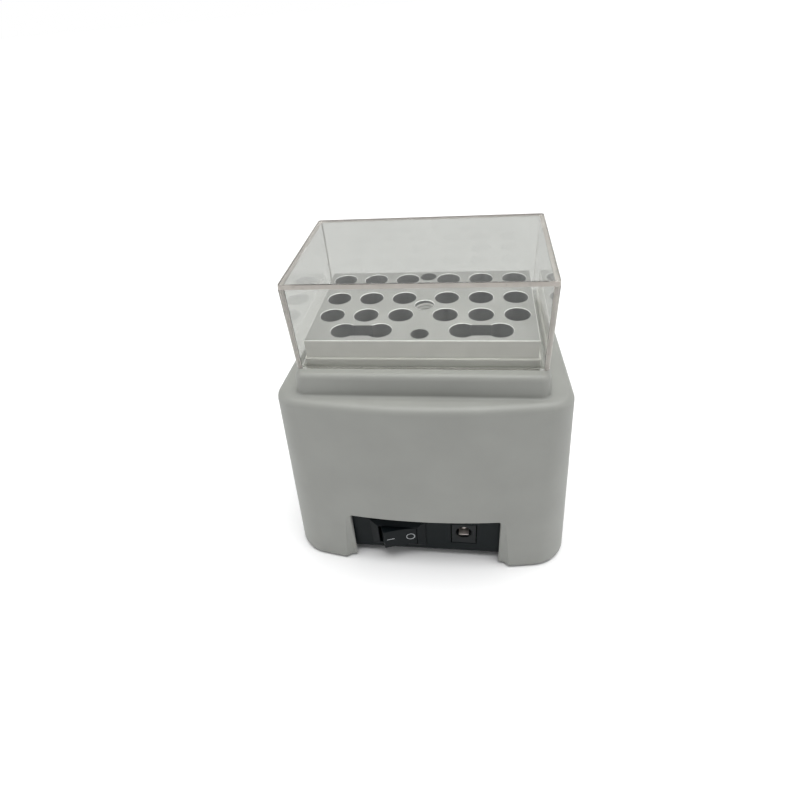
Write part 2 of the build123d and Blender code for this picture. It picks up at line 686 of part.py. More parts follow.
def make_heater_plate():
    plate = block_prism(0, PLATE_BOTTOM, BLOCK_BOTTOM)
    plate = fillet(plate.edges().filter_by(Axis.Z), 2)
    for side in (1, -1):
        y = BLOCK_Y + side * FIXING_Y
        plate -= rod(0, y, PLATE_BOTTOM + 1, BLOCK_BOTTOM + 1, BLOCK_SCREW[1] + TAPPED_GAP)
    low_y, high_y = (BLOCK_Y + y for y in SENSOR_HOLE_Y)
    return plate - rod_y(SENSOR_X, SENSOR_Z, low_y, high_y, SENSOR_RADIUS + CLEAR_GAP)


def make_film_heater():
    half_x, half_y = FILM_HALF
    film = brick(-half_x, half_x, BLOCK_Y - half_y, BLOCK_Y + half_y, FILM_BOTTOM, PLATE_BOTTOM)
    return fillet(film.edges().filter_by(Axis.Z), 2)


def make_sensor():
    probe = rod_y(SENSOR_X, SENSOR_Z, BLOCK_Y + SENSOR_Y[0], BLOCK_Y + SENSOR_Y[1], SENSOR_RADIUS)
    return fillet(probe.faces().sort_by(Axis.Y)[-1].edges(), SENSOR_RADIUS / 2)


def make_cutout():
    front = BLOCK_Y - BLOCK_HALF_Y
    low = PLATE_BOTTOM - CUTOUT_DROP
    body = brick(CUTOUT_X[0], CUTOUT_X[1], front - CUTOUT_THICK, front, low, BLOCK_BOTTOM)
    return fillet(body.edges().filter_by(Axis.X), PART_EDGE)


def make_pad():
    pad = block_prism(0, PAD_BOTTOM, FILM_BOTTOM)
    return fillet(pad.edges().filter_by(Axis.Z), 3)


def make_jacket():
    half_x = BLOCK_HALF_X + JACKET_THICK
    half_y = BLOCK_HALF_Y + JACKET_THICK
    jacket = Pos(0, BLOCK_Y, 0) * rounded(half_x, half_y, JACKET_THICK, BLOCK_BOTTOM, JACKET_TOP)
    for x, y in POSTS:
        jacket -= rod(x, y, 0, REACH, POST_RADIUS + 0.3)
    return jacket - block_prism(0, 0, REACH)


def make_collar():
    ceiling = STEP_TOP - WALL
    outer = rounded(STEP_HALF_X - WALL - 0.3, STEP_HALF_Y - WALL - 0.3, 1.0, COLLAR_BOTTOM, ceiling - 0.02)
    outer = Pos(0, BLOCK_Y, 0) * outer
    rim = Pos(0, BLOCK_Y, 0) * rounded(COLLAR_HALF_X, COLLAR_HALF_Y, 1.1, ceiling - 1, COLLAR_TOP)
    rim = chamfer(rim.faces().sort_by(Axis.Z)[-1].edges(), 0.25)
    return outer + rim - block_prism(COLLAR_GAP, 0, REACH)


def make_bracket():
    """Folded tray that carries the pad, the heater plate and the block."""
    low_y = BLOCK_Y - BLOCK_HALF_Y - TRAY_GROW
    high_y = BLOCK_Y + BLOCK_HALF_Y + TRAY_GROW
    tray = brick(-BRACKET_HALF_X, BRACKET_HALF_X, low_y, high_y, BRACKET_BOTTOM, PAD_BOTTOM)
    tray = fillet(tray.edges().filter_by(Axis.Z), 3)
    for y in (low_y, high_y - BRACKET_THICK):
        for x0, x1 in (TRAY_TAB_X, (-TRAY_TAB_X[1], -TRAY_TAB_X[0])):
            tray += brick(x0, x1, y, y + BRACKET_THICK, BRACKET_BOTTOM, FILM_BOTTOM)
    for x, y in STANDOFFS:
        tray -= rod(x, y, 0, REACH, TRAY_SCREW[1] + LOOSE_GAP)
    half_x, half_y = TRAY_SLOT_HALF
    for x in TRAY_SLOT_X:
        tray -= brick(x - half_x, x + half_x, BLOCK_Y - half_y, BLOCK_Y + half_y, 0, REACH)
    return tray


def make_bracket_standoffs():
    posts = []
    for x, y in STANDOFFS:
        post = Pos(x, y, BASE_TOP) * extrude(RegularPolygon(STANDOFF_RADIUS, 6), BRACKET_BOTTOM - BASE_TOP)
        tapped = TRAY_SCREW[1] + TAPPED_GAP
        post -= rod(x, y, BRACKET_BOTTOM - TRAY_SCREW[0] - 1, BRACKET_BOTTOM + 1, tapped)
        post -= rod(x, y, 0, BASE_TOP + STANDOFF_SCREW[0] + 1, tapped)
        posts.append(post)
    return separate(posts)


def make_bracket_screws():
    pieces = [screw(x, y, PAD_BOTTOM, *TRAY_SCREW) for x, y in STANDOFFS]
    pieces += [screw_up(x, y, BASE_Z + STANDOFF_SEAT, *STANDOFF_SCREW) for x, y in STANDOFFS]
    return separate(pieces)


# ---------------------------------------------------------------- main board
def on_board(across, along, up):
    """A box on the main board: its limits in x, in y and above the board."""
    return brick(across[0], across[1], along[0], along[1], BOARD_TOP + up[0], BOARD_TOP + up[1])


def make_main_board():
    board = brick(-BOARD_HALF_X, BOARD_HALF_X, BOARD_FRONT, BOARD_REAR, BOARD_Z, BOARD_TOP)
    half_x, front = SWITCH_CUT
    board -= brick(SWITCH_X - half_x, SWITCH_X + half_x, front, REACH, 0, REACH)
    middle, half_x, low_y, high_y = TAB_CUT
    for side in (1, -1):
        board -= brick(side * middle - half_x, side * middle + half_x, low_y, high_y, 0, REACH)
    for x, y in BOARD_HOLES:
        board -= rod(x, y, 0, REACH, BOARD_SCREW[1] + CLEAR_GAP)
    return board


def make_board_standoffs():
    return separate(
        rod(x, y, BASE_TOP, BOARD_Z, BOARD_POST) - rod(x, y, 0, REACH, BOARD_SCREW[1] + TAPPED_GAP)
        for x, y in BOARD_HOLES
    )


def make_board_screws():
    return separate(screw(x, y, BOARD_TOP, *BOARD_SCREW) for x, y in BOARD_HOLES)


def make_processor():
    chip = on_board(CHIP_X, CHIP_Y, CHIP_Z)
    reach, width, height = CHIP_LEG
    legs = []
    for index in range(CHIP_LEGS):
        start = CHIP_LEG_START + index * CHIP_LEG_PITCH
        for x0, x1 in ((CHIP_X[0] - reach, CHIP_X[0]), (CHIP_X[1], CHIP_X[1] + reach)):
            legs.append(on_board((x0, x1), (start, start + width), (0, height)))
    return joined([chip] + legs)


def make_capacitors():
    cans = []
    for x, y, radius, height in CANS:
        can = rod(x, y, BOARD_TOP, BOARD_TOP + height, radius)
        cans.append(fillet(can.faces().sort_by(Axis.Z)[-1].edges(), PART_EDGE))
    return separate(cans)


def make_coil():
    coil = Pos(*COIL_PLACE, 0) * rounded(COIL_HALF, COIL_HALF, 2, BOARD_TOP, BOARD_TOP + COIL_HEIGHT)
    return fillet(coil.faces().sort_by(Axis.Z)[-1].edges(), PART_EDGE)


def make_transistor():
    front, tab_front, back = TRANSISTOR_Y
    foot, head, top = TRANSISTOR_Z
    body = on_board(TRANSISTOR_X, (front, back), (foot, head))
    tab = on_board(TRANSISTOR_X, (tab_front, back), (head, top))
    legs = [on_board((x - 0.4, x + 0.4), TRANSISTOR_LEG_Y, (0, foot)) for x in TRANSISTOR_LEGS]
    return joined([body, tab] + legs)


def make_heat_sink():
    front, root, back = SINK_Y
    sink = on_board(SINK_X, (front, root), (0, SINK_HEIGHT))
    for index in range(FIN_COUNT):
        x = SINK_X[0] + index * FIN_PITCH
        sink += on_board((x, x + FIN_THICK), (root, back), (0, SINK_HEIGHT))
    return sink


def make_buzzer():
    x, y = BUZZER_PLACE
    top = BOARD_TOP + BUZZER_HEIGHT
    case = rod(x, y, BOARD_TOP, top, BUZZER_RADIUS)
    case = fillet(case.faces().sort_by(Axis.Z)[-1].edges(), PART_EDGE)
    return case - rod(x, y, top - 2, top + 1, BUZZER_HOLE)


def make_connectors():
    sockets = []
    for x, y, length in CONNECTORS.values():
        half = length / 2
        half_y = SOCKET_HALF_Y
        shell = on_board((x - half, x + half), (y - half_y, y + half_y), (0, SOCKET_HEIGHT))
        half -= SOCKET_WALL
        half_y -= SOCKET_WALL
        shell -= on_board((x - half, x + half), (y - half_y, y + half_y), (1, SOCKET_HEIGHT + 1))
        sockets.append(shell)
    return separate(sockets)


def make_plugs():
    plugs = []
    for x, y, length in CONNECTORS.values():
        half = length / 2 - SOCKET_WALL - PLUG_GAP
        half_y = SOCKET_HALF_Y - SOCKET_WALL - PLUG_GAP
        plugs.append(on_board((x - half, x + half), (y - half_y, y + half_y), (1 + PLUG_GAP, PLUG_HEIGHT)))
    return separate(plugs)


# ---------------------------------------------------------------- wires inside
def make_heater_leads():
    x, y, _ = CONNECTORS["heater"]
    leads = []
    for side in (-1, 1):
        end_x = x + side * 1.4
        points = [
            (end_x, y, PLUG_TOP),
            (end_x, y, 24),
            (end_x + 2, y - 8, 32),
            (end_x + 2, -17, 38),
            (end_x + 2, -17, FILM_BOTTOM + HEATER_LEAD),
            (end_x + 2, BLOCK_Y - FILM_HALF[1], FILM_BOTTOM + HEATER_LEAD),
        ]
        leads.append(wire(points, HEATER_LEAD, LEAD_BEND))
    return separate(leads)


def make_sensor_leads():
    x, y, _ = CONNECTORS["sensor"]
    leads = []
    for side in (-1, 1):
        shift = side * 0.75
        points = [
            (x + side * 1.2, y, PLUG_TOP),
            (x + side * 1.2, y, 22),
            (x + 12 + shift, y - 9, 30),
            (SENSOR_X + shift, -24, 44),
            (SENSOR_X + shift, -24, SENSOR_Z),
            (SENSOR_X + shift, BLOCK_Y + SENSOR_Y[0], SENSOR_Z),
        ]
        leads.append(wire(points, SENSOR_LEAD, LEAD_BEND))
    return separate(leads)


def make_switch_leads():
    x, y, _ = CONNECTORS["switch"]
    leads = []
    for side in (-1, 1):
        end_x = SWITCH_X + side * TERMINAL_X
        z = SWITCH_Z + side * 0.2
        points = [
            (x + side * 1.4, y, PLUG_TOP),
            (x + side * 1.4, y, 25 + side * 1.5),
            (end_x, y + 1, 25 + side * 1.5),
            (end_x, y + 1, z),
            (end_x, TERMINAL_REAR, z),
        ]
        leads.append(wire(points, SWITCH_LEAD, LONG_BEND))
    return separate(leads)


def make_display_ribbon():
    x, y, _ = CONNECTORS["display"]
    board_back = CONTROL * Pos(0, -12, SCREEN_BOARD - BOARD_THICK)
    end = board_back.position
    out = CONTROL.z_dir
    strands = []
    for index in range(RIBBON_WIRES):
        wire_x = x + (index - (RIBBON_WIRES - 1) / 2) * RIBBON_PITCH
        points = [
            (wire_x, y, PLUG_TOP),
            (wire_x, y, 26),
            (wire_x, end.Y - out.Y * 8, end.Z - out.Z * 8),
            (wire_x, end.Y, end.Z),
        ]
        strands.append(wire(points, RIBBON_RADIUS, LONG_BEND))
    return separate(strands)


# ---------------------------------------------------------------- control face
def make_front_label():
    label = rounded(LABEL_HALF_X, LABEL_HALF_Y, LABEL_CORNER, -LABEL_DEPTH, LABEL_THICK - LABEL_DEPTH)
    half_x = WINDOW_HALF_X - FRAME_RIM
    half_y = WINDOW_HALF_Y - FRAME_RIM
    label -= Pos(0, WINDOW_Y, 0) * rounded(half_x, half_y, 1, -2, 2)
    for x in KEY_X:
        label -= Pos(x, KEY_Y, 0) * key_opening(-2, 2)
    return CONTROL * label


def make_window():
    return CONTROL * (Pos(0, WINDOW_Y, 0) * rounded(WINDOW_HALF_X, WINDOW_HALF_Y, 1, -2.5, -LABEL_DEPTH))


def make_screen():
    frame = rounded(SCREEN_HALF_X, SCREEN_HALF_Y, 0.8, SCREEN_BOARD, SCREEN_TOP)
    return CONTROL * (Pos(0, WINDOW_Y + SCREEN_SHIFT, 0) * frame)


def make_display_board():
    board = rounded(SCREEN_BOARD_HALF[0], SCREEN_BOARD_HALF[1], 1, SCREEN_BOARD - BOARD_THICK, SCREEN_BOARD)
    for x, y in SCREEN_SCREWS:
        board -= rod(x, y, -REACH, 0, DISPLAY_SCREW[1] + 0.17)
    return CONTROL * board


def make_display_screws():
    seat = SCREEN_BOARD - BOARD_THICK
    return separate(CONTROL * screw_up(x, y, seat, *DISPLAY_SCREW) for x, y in SCREEN_SCREWS)


def make_key(x):
    cap = rounded(KEY_HALF_X, KEY_HALF_Y, KEY_CORNER, KEY_BACK - LOOSE_GAP, KEY_PROUD)
    cap = fillet(cap.faces().sort_by(Axis.Z)[-1].edges(), KEY_EDGE)
    half_x = KEY_HALF_X + KEY_FLANGE
    half_y = KEY_HALF_Y + KEY_FLANGE
    flange = rounded(half_x, half_y, KEY_CORNER, KEY_FLANGE_BACK, KEY_BACK)
    post = rod(0, 0, KEY_POST_BACK, KEY_FLANGE_BACK + LOOSE_GAP, KEY_POST)
    return CONTROL * (Pos(x, KEY_Y, 0) * (cap + flange + post))


def make_key_switches():
    bodies = []
    for x in KEY_X:
        body = rounded(TACT_HALF, TACT_HALF, 0.4, SCREEN_BOARD, TACT_TOP)
        body -= rod(0, 0, TACT_WELL_FLOOR, TACT_TOP + 1, KEY_POST + LOOSE_GAP)
        bodies.append(CONTROL * (Pos(x, KEY_Y, 0) * body))
    return separate(bodies)


# ---------------------------------------------------------------- lid
def lid_plates():
    low = STEP_TOP + LID_REST_GAP
    under = LID_TOP - LID_WALL
    y0 = BLOCK_Y - LID_HALF_Y
    y1 = BLOCK_Y + LID_HALF_Y
    x1 = LID_HALF_X
    return {
        "lid_top": brick(-x1, x1, y0, y1, under, LID_TOP),
        "lid_rear": brick(-x1, x1, y1 - LID_WALL, y1, low, under),
        "lid_front": brick(-x1, x1, y0, y0 + LID_WALL, low, under),
        "lid_left": brick(-x1, -x1 + LID_WALL, y0 + LID_WALL, y1 - LID_WALL, low, under),
        "lid_right": brick(x1 - LID_WALL, x1, y0 + LID_WALL, y1 - LID_WALL, low, under),
    }


# ---------------------------------------------------------------- all nodes
NODES = {
    "upper_shell": make_upper_shell(),
    "base_plate": make_base_plate(),
    "rubber_feet": make_feet(),
    "case_screws": make_case_screws(),
    "rear_panel": make_rear_panel(),
    "switch_housing": make_switch_housing(),
    "switch_rocker": make_rocker(),
    "switch_terminals": make_switch_terminals(),
    "dc_inlet_body": make_jack_body(),
    "dc_inlet_pin": make_jack_pin(),
    "dc_inlet_contacts": make_jack_contacts(),
    "heat_block": make_heat_block(),
    "block_screws": make_block_screws(),
    "block_collar": make_collar(),
    "insulating_jacket": make_jacket(),
    "heater_plate": make_heater_plate(),
    "film_heater": make_film_heater(),
    "temperature_sensor": make_sensor(),
    "thermal_cutout": make_cutout(),
    "insulating_pad": make_pad(),
    "heater_bracket": make_bracket(),
    "bracket_standoffs": make_bracket_standoffs(),
    "bracket_screws": make_bracket_screws(),
    "main_board": make_main_board(),
    "board_standoffs": make_board_standoffs(),
    "board_screws": make_board_screws(),
    "processor": make_processor(),
    "capacitors": make_capacitors(),
    "filter_coil": make_coil(),
    "power_transistor": make_transistor(),
    "heat_sink": make_heat_sink(),
    "buzzer": make_buzzer(),
    "board_sockets": make_connectors(),
    "wire_plugs": make_plugs(),
    "heater_leads": make_heater_leads(),
    "sensor_leads": make_sensor_leads(),
    "switch_leads": make_switch_leads(),
    "display_ribbon": make_display_ribbon(),
    "front_label": make_front_label(),
    "display_window": make_window(),
    "screen_module": make_screen(),
    "display_board": make_display_board(),
    "display_screws": make_display_screws(),
    "key_switches": make_key_switches(),
}
NODES.update({name: make_key(x) for name, x in zip(KEY_NAMES, KEY_X)})
NODES.update(lid_plates())

os.makedirs("parts", exist_ok=True)
for node_name, shape in NODES.items():
    shape.label = node_name
    export_step(shape, f"parts/{node_name}.step")
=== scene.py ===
"""Looks of the mini dry bath: moulded case, blasted aluminium block and clear bonded lid."""

import json
from math import cos, pi, radians, sin

import bmesh
import bpy
from mathutils import Euler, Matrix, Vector


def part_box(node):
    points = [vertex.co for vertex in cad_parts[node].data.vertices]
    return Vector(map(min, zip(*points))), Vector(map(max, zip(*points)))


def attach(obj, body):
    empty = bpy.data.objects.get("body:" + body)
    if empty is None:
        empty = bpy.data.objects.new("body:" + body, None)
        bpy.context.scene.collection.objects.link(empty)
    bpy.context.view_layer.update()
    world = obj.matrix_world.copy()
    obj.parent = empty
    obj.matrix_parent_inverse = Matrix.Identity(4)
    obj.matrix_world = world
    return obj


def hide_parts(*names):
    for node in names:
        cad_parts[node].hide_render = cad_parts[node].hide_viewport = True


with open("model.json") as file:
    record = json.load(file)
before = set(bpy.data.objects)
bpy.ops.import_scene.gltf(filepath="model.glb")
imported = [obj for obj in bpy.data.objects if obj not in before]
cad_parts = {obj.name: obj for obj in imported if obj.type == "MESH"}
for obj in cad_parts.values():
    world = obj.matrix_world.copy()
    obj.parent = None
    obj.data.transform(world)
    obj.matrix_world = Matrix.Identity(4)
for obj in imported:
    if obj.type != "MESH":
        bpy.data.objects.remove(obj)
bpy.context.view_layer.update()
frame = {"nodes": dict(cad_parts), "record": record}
NODES = frame["nodes"]
RECORD = frame["record"]
MM = 0.001
BLOCK_LOW, BLOCK_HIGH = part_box("heat_block")
BLOCK_MIDDLE_Y = (BLOCK_LOW[1] + BLOCK_HIGH[1]) / 2
BLOCK_HALF_X = BLOCK_HIGH[0]
BLOCK_HALF_Y = (BLOCK_HIGH[1] - BLOCK_LOW[1]) / 2

# ---------------------------------------------------------------- camera
CAMERA_PLACE = Vector((-17.33, 174.43, 183.06)) * MM
CAMERA_ANGLES = (radians(50.911), radians(4.294), radians(-173.193))
CAMERA_LENS = 23.307
SENSOR_WIDTH = 36


def make_camera():
    """The main view: from above and behind the object, with the switch side towards the viewer."""
    data = bpy.data.cameras.new("view")
    data.lens = CAMERA_LENS
    data.sensor_width = SENSOR_WIDTH
    data.clip_start = 0.01
    data.clip_end = 100
    camera = bpy.data.objects.new("view", data)
    camera.location = CAMERA_PLACE
    camera.rotation_euler = Euler(CAMERA_ANGLES, "XYZ")
    bpy.context.scene.collection.objects.link(camera)
    bpy.context.scene.camera = camera


# ---------------------------------------------------------------- light and floor
AMBIENT_COLOUR = (0.97, 0.985, 1.0, 1)
AMBIENT_STRENGTH = 0.17
BACKDROP_COLOUR = (1, 1, 1, 1)
OVERHEAD_ENERGY = 3.35
OVERHEAD_SPREAD = radians(50)
OVERHEAD_TILT = (radians(2), radians(-4), 0)
PANELS_FACE = Vector((0, 0, 0.05))
# each soft panel: its name by its side in the main view, place, size, energy
SOFT_PANELS = (
    ("left_panel", (0.9, 0.25, 0.35), (0.5, 0.5), 1.8),
    ("right_panel", (-0.9, 0.25, 0.35), (0.5, 0.5), 1.6),
    ("far_panel", (0.1, -1.15, 0.50), (1.8, 0.8), 1.5),
)
FLOOR_HALF = 6.0


def background(tree, colour, strength):
    node = tree.nodes.new("ShaderNodeBackground")
    node.inputs["Color"].default_value = colour
    node.inputs["Strength"].default_value = strength
    return node.outputs[0]


def make_world():
    """A white backdrop, seen directly and straight through clear pieces, and a dim ambient light."""
    scene = bpy.context.scene
    scene.view_settings.view_transform = "Standard"
    world = bpy.data.worlds.new("studio")
    world.use_nodes = True
    tree = world.node_tree
    tree.nodes.clear()
    path = tree.nodes.new("ShaderNodeLightPath")
    ambient = background(tree, AMBIENT_COLOUR, AMBIENT_STRENGTH)
    seen = background(tree, BACKDROP_COLOUR, 1.0)
    mix = tree.nodes.new("ShaderNodeMixShader")
    out = tree.nodes.new("ShaderNodeOutputWorld")
    straight = math_node(tree, "LESS_THAN", path.outputs["Diffuse Depth"], 0.5)
    through = math_node(tree, "MULTIPLY", path.outputs["Is Transmission Ray"], straight)
    backdrop = math_node(tree, "MAXIMUM", path.outputs["Is Camera Ray"], through)
    tree.links.new(backdrop, mix.inputs["Fac"])
    tree.links.new(ambient, mix.inputs[1])
    tree.links.new(seen, mix.inputs[2])
    tree.links.new(mix.outputs[0], out.inputs["Surface"])
    scene.world = world


def make_lamps():
    """One broad light overhead, and soft panels at both sides and on the display side."""
    collection = bpy.context.scene.collection
    data = bpy.data.lights.new("overhead", "SUN")
    data.energy = OVERHEAD_ENERGY
    data.angle = OVERHEAD_SPREAD
    overhead = bpy.data.objects.new("overhead", data)
    overhead.rotation_euler = OVERHEAD_TILT
    collection.objects.link(overhead)
    for name, place, size, energy in SOFT_PANELS:
        data = bpy.data.lights.new(name, "AREA")
        data.shape = "RECTANGLE"
        data.size, data.size_y = size
        data.energy = energy
        panel = bpy.data.objects.new(name, data)
        panel.location = place
        panel.rotation_euler = (PANELS_FACE - panel.location).to_track_quat("-Z", "Y").to_euler()
        panel.visible_camera = False
        panel.visible_transmission = False
        collection.objects.link(panel)


def make_floor():
    """A plain pale floor under the feet."""
    half = FLOOR_HALF
    mesh = bpy.data.meshes.new("floor")
    corners = [(-half, -half, 0), (half, -half, 0), (half, half, 0), (-half, half, 0)]
    mesh.from_pydata(corners, [], [(0, 1, 2, 3)])
    floor = bpy.data.objects.new("floor", mesh)
    bpy.context.scene.collection.objects.link(floor)
    floor.data.materials.append(plain_floor_material())


# ---------------------------------------------------------------- materials
GRAIN_DEPTH = 2e-5
ACRYLIC_IOR = 1.49


def new_material(name):
    """A node material, its node tree and its main shader."""
    material = bpy.data.materials.new(name)
    material.use_nodes = True
    tree = material.node_tree
    shader = tree.nodes["Principled BSDF"]
    return material, tree, shader


def object_coords(tree):
    return tree.nodes.new("ShaderNodeTexCoord").outputs["Object"]


def noise(tree, coords, scale, detail=3.0, roughness=0.5):
    node = tree.nodes.new("ShaderNodeTexNoise")
    node.inputs["Scale"].default_value = scale
    node.inputs["Detail"].default_value = detail
    node.inputs["Roughness"].default_value = roughness
    tree.links.new(coords, node.inputs["Vector"])
    return node.outputs["Fac"]


def ramp(tree, source, stops):
    """A colour ramp: stops are (place, (r, g, b))."""
    node = tree.nodes.new("ShaderNodeValToRGB")
    elements = node.color_ramp.elements
    while len(elements) < len(stops):
        elements.new(0.5)
    for element, (place, colour) in zip(elements, stops):
        element.position = place
        element.color = (*colour, 1)
    tree.links.new(source, node.inputs["Fac"])
    return node.outputs["Color"]


def remap(tree, source, low, high):
    """Spreads a value that runs from 0 to 1 over low to high."""
    node = tree.nodes.new("ShaderNodeMapRange")
    node.inputs["To Min"].default_value = low
    node.inputs["To Max"].default_value = high
    tree.links.new(source, node.inputs["Value"])
    return node.outputs["Result"]


def add_bump(tree, shader, height, strength, distance):
    node = tree.nodes.new("ShaderNodeBump")
    node.inputs["Strength"].default_value = strength
    node.inputs["Distance"].default_value = distance
    tree.links.new(height, node.inputs["Height"])
    tree.links.new(node.outputs["Normal"], shader.inputs["Normal"])


def shade(colour, factor):
    """The colour made lighter or darker, kept at or below white."""
    return tuple(min(1.0, c * factor) for c in colour)


def grained(
    name,
    colour,
    vary=0.05,
    rough=(0.4, 0.5),
    grain=2500.0,
    bump=0.15,
    metallic=0.0,
    patch=60.0,
    specular=0.5,
):
    """A material with soft colour variation, uneven roughness and a fine surface grain."""
    material, tree, shader = new_material(name)
    coords = object_coords(tree)
    broad = noise(tree, coords, patch, 4)
    fine = noise(tree, coords, grain, 2)
    tint = ramp(tree, broad, [(0.25, shade(colour, 1 - vary)), (0.75, shade(colour, 1 + vary))])
    tree.links.new(tint, shader.inputs["Base Color"])
    tree.links.new(remap(tree, fine, *rough), shader.inputs["Roughness"])
    add_bump(tree, shader, fine, bump, GRAIN_DEPTH)
    shader.inputs["Metallic"].default_value = metallic
    shader.inputs["Specular IOR Level"].default_value = specular
    return material


def plain_floor_material():
    return grained(
        "floor",
        (0.93, 0.93, 0.93),
        vary=0.004,
        rough=(0.85, 0.95),
        grain=80,
        bump=0.0,
        patch=3,
        specular=0.0,
    )


def math_node(tree, operation, first, second=0.0):
    """One sum or test on two numbers or sockets."""
    node = tree.nodes.new("ShaderNodeMath")
    node.operation = operation
    for socket, value in zip(node.inputs, (first, second)):
        if isinstance(value, (int, float)):
            socket.default_value = value
        else:
            tree.links.new(value, socket)
    return node.outputs[0]


def mixed(tree, factor, first, second):
    """A colour mix; each side is a colour or a socket."""
    node = tree.nodes.new("ShaderNodeMix")
    node.data_type = "RGBA"
    tree.links.new(factor, node.inputs["Factor"])
    for name, value in (("A", first), ("B", second)):
        socket = next(i for i in node.inputs if i.name == name and i.type == "RGBA")
        if isinstance(value, tuple):
            socket.default_value = (*value, 1)
        else:
            tree.links.new(value, socket)
    return next(o for o in node.outputs if o.type == "RGBA")


# how deep the painted reflection of the flanks reaches
BLOCK_SKIN = 0.05 * MM
# how far a normal rises on an upright wall, and on a sloped cut edge
UPRIGHT_BELOW = 0.4
SLOPED_FROM = 0.45
SLOPED_TO = 0.96
# partly the bare metal of the cut edges, partly a painted highlight along them
CUT_EDGE_AND_HIGHLIGHT_COLOUR = (0.93, 0.93, 0.92)


# marks the outer sides, where the block's painted reflection goes
def block_flanks(tree, coords):
    """One on the block's four outer sides, nought inside it."""
    place = tree.nodes.new("ShaderNodeSeparateXYZ")
    tree.links.new(coords, place.inputs[0])
    away_x = math_node(tree, "ABSOLUTE", place.outputs["X"])
    away_y = math_node(tree, "ABSOLUTE", math_node(tree, "SUBTRACT", place.outputs["Y"], BLOCK_MIDDLE_Y))
    past_x = math_node(tree, "GREATER_THAN", away_x, BLOCK_HALF_X - BLOCK_SKIN)
    past_y = math_node(tree, "GREATER_THAN", away_y, BLOCK_HALF_Y - BLOCK_SKIN)
    return math_node(tree, "MAXIMUM", past_x, past_y)


def facing_masks(tree):
    """One on upright walls, and one on the cut edges that slope between wall and top."""
    geometry = tree.nodes.new("ShaderNodeNewGeometry")
    split = tree.nodes.new("ShaderNodeSeparateXYZ")
    tree.links.new(geometry.outputs["True Normal"], split.inputs[0])
    level = split.outputs["Z"]
    upright = math_node(tree, "LESS_THAN", math_node(tree, "ABSOLUTE", level), UPRIGHT_BELOW)
    above = math_node(tree, "GREATER_THAN", level, SLOPED_FROM)
    below = math_node(tree, "LESS_THAN", level, SLOPED_TO)
    return upright, math_node(tree, "MULTIPLY", above, below)


def block_material():
    """Blasted, anodised aluminium with painted light by facing: a painted reflection (a much lighter colour)
    on the outer flanks, painted shade (a darker colour) on the well walls, and bright cut edges that are
    partly bare metal, partly a painted highlight.
    """
    material, tree, shader = new_material("block_aluminium")
    coords = object_coords(tree)
    fine = noise(tree, coords, 5200, 2, 0.7)
    broad = noise(tree, coords, 45, 3)
    cloud = noise(tree, coords, 160, 3)
    blasted = ramp(tree, broad, [(0.3, (0.30, 0.303, 0.295)), (0.7, (0.33, 0.333, 0.324))])
    # painted reflection: the outer upright sides get a much lighter colour than the top, standing in for the
    # bright surroundings they mirror
    flank_painted_reflection = ramp(tree, cloud, [(0.3, (0.72, 0.71, 0.68)), (0.7, (0.78, 0.77, 0.74))])
    # painted shade: the inner walls of the wells and holes get a darker colour than the top
    hole_walls_painted_shade = ramp(tree, broad, [(0.3, (0.205, 0.218, 0.213)), (0.7, (0.225, 0.238, 0.233))])
    upright, sloped = facing_masks(tree)
    sides = mixed(tree, block_flanks(tree, coords), hole_walls_painted_shade, flank_painted_reflection)
    colour = mixed(tree, upright, blasted, sides)
    colour = mixed(tree, sloped, colour, CUT_EDGE_AND_HIGHLIGHT_COLOUR)
    tree.links.new(colour, shader.inputs["Base Color"])
    tree.links.new(remap(tree, fine, 0.48, 0.6), shader.inputs["Roughness"])
    shader.inputs["Metallic"].default_value = 0.5
    add_bump(tree, shader, fine, 0.25, GRAIN_DEPTH)
    return material


def let_lamps_through(tree, shader, tint):
    """Lets lamp light pass straight through a clear piece, slightly tinted."""
    path = tree.nodes.new("ShaderNodeLightPath")
    clear = tree.nodes.new("ShaderNodeBsdfTransparent")
    clear.inputs["Color"].default_value = (*tint, 1)
    mix = tree.nodes.new("ShaderNodeMixShader")
    tree.links.new(path.outputs["Is Shadow Ray"], mix.inputs["Fac"])
    tree.links.new(shader.outputs[0], mix.inputs[1])
    tree.links.new(clear.outputs[0], mix.inputs[2])
    tree.links.new(mix.outputs[0], tree.nodes["Material Output"].inputs["Surface"])


def acrylic_material():
    """Clear cast acrylic with a faint grey body and faint handling marks."""
    material, tree, shader = new_material("clear_acrylic")
    coords = object_coords(tree)
    broad = noise(tree, coords, 30, 2)
    tint = ramp(tree, broad, [(0.3, (0.690, 0.695, 0.676)), (0.7, (0.705, 0.711, 0.692))])
    tree.links.new(tint, shader.inputs["Base Color"])
    marks = noise(tree, coords, 900, 2)
    tree.links.new(remap(tree, marks, 0.0, 0.03), shader.inputs["Roughness"])
    shader.inputs["IOR"].default_value = ACRYLIC_IOR
    shader.inputs["Transmission Weight"].default_value = 1.0
    let_lamps_through(tree, shader, (0.95, 0.95, 0.94))
    return material


# small voids begin this far from the middle
VOIDS_FROM_X = 26 * MM
VOID_SCALE = 620
VOID_SHADE = 0.93


